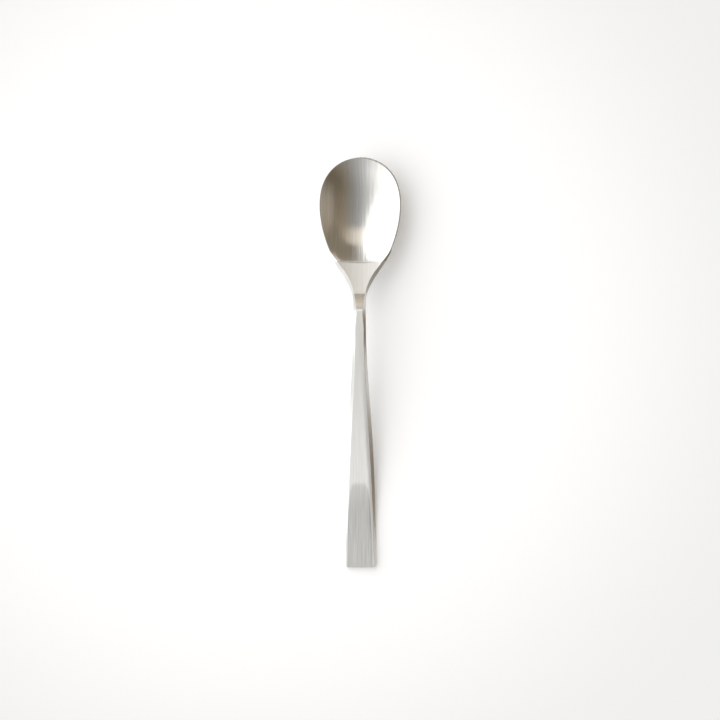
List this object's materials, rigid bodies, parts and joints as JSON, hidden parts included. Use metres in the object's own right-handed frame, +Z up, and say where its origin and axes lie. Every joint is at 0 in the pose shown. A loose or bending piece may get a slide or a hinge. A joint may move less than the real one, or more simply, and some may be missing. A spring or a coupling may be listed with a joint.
{
  "type": "dinner spoon",
  "caption": "One-piece steel dinner spoon with an egg-shaped bowl, a flat throat, a narrow neck and a flat-topped handle that widens to a square end.",
  "frame": {"origin": "on the table, midway along the length and on the centreline", "axes": "+Y from the handle's end to the bowl's tip, +X to the right seen from above with the bowl up, +Z up out of the hollow of the bowl"},
  "size_m": [0.039, 0.195, 0.0179],
  "materials": {
    "steel": "satin, brushed along the length"
  },
  "bodies": {
    "root": {"spoon": "steel"}
  },
  "joints": []
}
